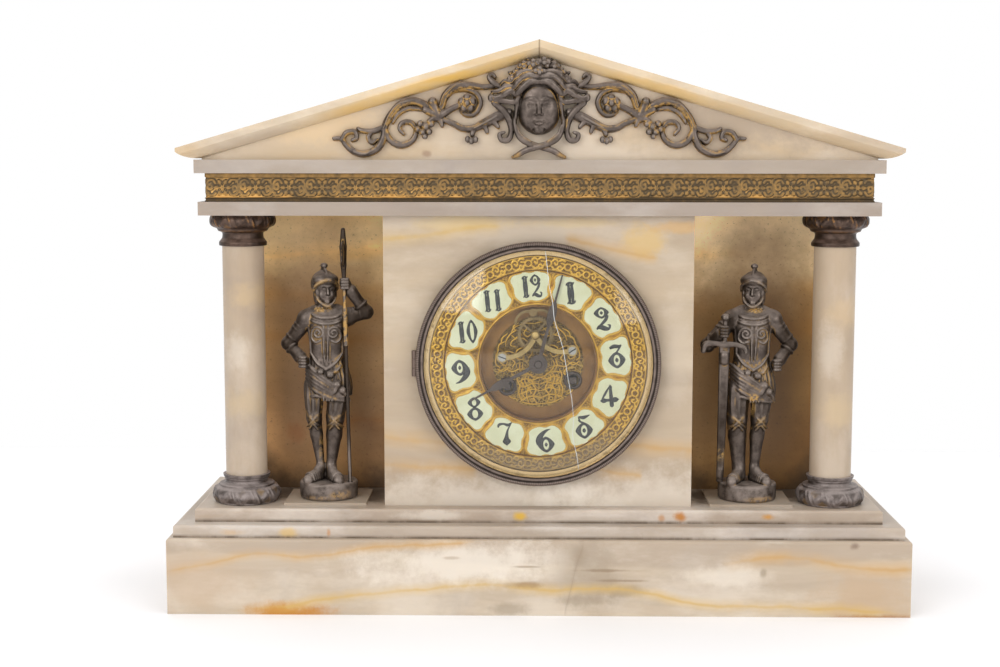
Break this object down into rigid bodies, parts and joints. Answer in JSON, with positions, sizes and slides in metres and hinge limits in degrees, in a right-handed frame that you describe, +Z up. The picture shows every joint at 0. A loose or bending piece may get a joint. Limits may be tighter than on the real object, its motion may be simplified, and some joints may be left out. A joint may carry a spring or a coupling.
{
  "type": "mantel clock",
  "caption": "Temple-form mantel clock of onyx slabs with columns, armoured guard figures, a cast gable mount and a glazed dial with visible escapement that strikes a coil gong.",
  "frame": {"origin": "centre of the plinth's underside", "axes": "+X to the viewer's right along the front, +Y towards the back, +Z up"},
  "size_m": [0.43, 0.15, 0.3296],
  "materials": {
    "onyx": "polished veined onyx",
    "patinated_spelter": "cast zinc alloy with a dark patina and worn gilding",
    "gilt_brass": "pressed and gilt",
    "bronzed_brass": "knurled, dark bronzed",
    "clock_brass": "satin",
    "clock_steel": "plain",
    "blued_steel": "blued",
    "glass": "clear, domed",
    "porcelain": "white glaze"
  },
  "bodies": {
    "case": {"plinth": "onyx", "lower_step": "onyx", "upper_step": "onyx", "front_panel": "onyx", "side_slabs": "onyx", "niche_walls": "onyx", "back_panel": "onyx", "architrave": "onyx", "frieze_core": "onyx", "cornice_slab": "onyx", "gable_slabs": "onyx", "raking_cornices": "onyx", "column_shafts": "onyx", "figure_tiles": "onyx", "column_bases": "patinated_spelter", "column_capitals": "patinated_spelter", "halberdier": "patinated_spelter", "halberd": "patinated_spelter", "swordsman": "patinated_spelter", "sword": "patinated_spelter", "pediment_mount": "patinated_spelter", "frieze_band": "gilt_brass", "dial_ring": "gilt_brass", "dial_ornament": "gilt_brass", "dial_pan": "clock_brass", "dial_centre": "clock_brass", "back_ring": "clock_brass", "movement_plates": "clock_brass", "movement_supports": "clock_brass", "suspension_cock": "clock_brass", "escapement_bridge": "clock_brass", "hinge_pins": "clock_brass", "tie_rods": "clock_steel", "bridge_screws": "clock_steel", "mainsprings": "clock_steel", "gong": "clock_steel", "numeral_plaques": "porcelain"},
    "bezel": {"bezel_ring": "bronzed_brass", "bezel_glass": "glass"},
    "rear_door": {"back_door": "clock_brass"},
    "minute": {"minute_hand": "blued_steel", "cannon_pinion": "clock_brass", "hand_nut": "clock_brass"},
    "minute_train": {"minute_wheel": "clock_brass"},
    "hour": {"hour_hand": "blued_steel", "hour_wheel": "clock_brass"},
    "escape": {"escape_wheel": "clock_brass"},
    "third": {"third_wheel": "clock_brass"},
    "centre": {"centre_wheel": "clock_brass"},
    "intermediate": {"intermediate_wheel": "clock_brass"},
    "going_great": {"going_great_wheel": "clock_brass"},
    "going_winder": {"going_winding_arbor": "clock_steel"},
    "strike_winder": {"strike_winding_arbor": "clock_steel"},
    "fly": {"strike_fly": "clock_brass"},
    "strike_pins": {"strike_pin_wheel": "clock_brass"},
    "strike_great": {"strike_great_wheel": "clock_brass"},
    "pendulum": {"pendulum_rod": "clock_steel", "pendulum_bob": "clock_brass"},
    "anchor": {"pallets": "clock_steel"},
    "hammer": {"hammer": "clock_steel"}
  },
  "joints": [
    {"name": "bezel_hinge", "type": "hinge", "parent": "case", "child": "bezel", "pos_m": [-0.07175, -0.05445, 0.1445], "axis": [0, 0, -1], "range_deg": [0, 110]},
    {"name": "rear_door_hinge", "type": "hinge", "parent": "case", "child": "rear_door", "pos_m": [0.0699, 0.05445, 0.1445], "axis": [0, 0, -1], "range_deg": [0, 110]},
    {"name": "minute_turn", "type": "hinge", "parent": "case", "child": "minute", "pos_m": [0, 0, 0.1445], "axis": [0, 1, 0], "continuous": true},
    {"name": "minute_wheel_turn", "type": "hinge", "parent": "case", "child": "minute_train", "pos_m": [-0.01194, 0, 0.14331], "axis": [0, 1, 0], "continuous": true},
    {"name": "hour_turn", "type": "hinge", "parent": "case", "child": "hour", "pos_m": [0, 0, 0.1445], "axis": [0, 1, 0], "continuous": true},
    {"name": "escape_turn", "type": "hinge", "parent": "case", "child": "escape", "pos_m": [-0.00166, 0, 0.16112], "axis": [0, 1, 0], "continuous": true},
    {"name": "third_turn", "type": "hinge", "parent": "case", "child": "third", "pos_m": [-0.01339, 0, 0.1525], "axis": [0, 1, 0], "continuous": true},
    {"name": "centre_turn", "type": "hinge", "parent": "case", "child": "centre", "pos_m": [0, 0, 0.1445], "axis": [0, 1, 0], "continuous": true},
    {"name": "intermediate_turn", "type": "hinge", "parent": "case", "child": "intermediate", "pos_m": [0.01516, 0, 0.1542], "axis": [0, 1, 0], "continuous": true},
    {"name": "going_great_turn", "type": "hinge", "parent": "case", "child": "going_great", "pos_m": [0.02046, 0, 0.13388], "axis": [0, 1, 0], "continuous": true},
    {"name": "going_winding", "type": "hinge", "parent": "case", "child": "going_winder", "pos_m": [0.02046, 0, 0.13388], "axis": [0, 1, 0], "continuous": true},
    {"name": "strike_winding", "type": "hinge", "parent": "case", "child": "strike_winder", "pos_m": [-0.01795, 0, 0.13004], "axis": [0, 1, 0], "continuous": true},
    {"name": "fly_turn", "type": "hinge", "parent": "case", "child": "fly", "pos_m": [0.01079, 0, 0.11167], "axis": [0, 1, 0], "continuous": true},
    {"name": "strike_pin_turn", "type": "hinge", "parent": "case", "child": "strike_pins", "pos_m": [-0.00511, 0, 0.11343], "axis": [0, 1, 0], "continuous": true},
    {"name": "strike_great_turn", "type": "hinge", "parent": "case", "child": "strike_great", "pos_m": [-0.01795, 0, 0.13004], "axis": [0, 1, 0], "continuous": true},
    {"name": "pendulum_swing", "type": "hinge", "parent": "case", "child": "pendulum", "pos_m": [-0.00296, 0, 0.17415], "axis": [0, 1, 0], "range_deg": [-4, 4]},
    {"name": "anchor_rock", "type": "hinge", "parent": "case", "child": "anchor", "pos_m": [-0.00296, 0, 0.17415], "axis": [0, 1, 0], "range_deg": [-4, 4]},
    {"name": "hammer_lift", "type": "hinge", "parent": "case", "child": "hammer", "pos_m": [-0.0416, 0, 0.11824], "axis": [0, 1, 0], "range_deg": [-18, 3], "stiffness_Nm_per_rad": 0.02}
  ],
  "couplings": [
    {"joint": "minute_wheel_turn", "follows": "minute_turn", "ratio": -0.33333},
    {"joint": "hour_turn", "follows": "minute_turn", "ratio": 0.083333},
    {"joint": "escape_turn", "follows": "third_turn", "ratio": -12},
    {"joint": "centre_turn", "follows": "third_turn", "ratio": -0.083333},
    {"joint": "intermediate_turn", "follows": "third_turn", "ratio": 0.020833},
    {"joint": "going_great_turn", "follows": "third_turn", "ratio": -0.0034722},
    {"joint": "fly_turn", "follows": "strike_pin_turn", "ratio": -9},
    {"joint": "strike_great_turn", "follows": "strike_pin_turn", "ratio": -0.16667},
    {"joint": "anchor_rock", "follows": "pendulum_swing", "ratio": 1}
  ]
}
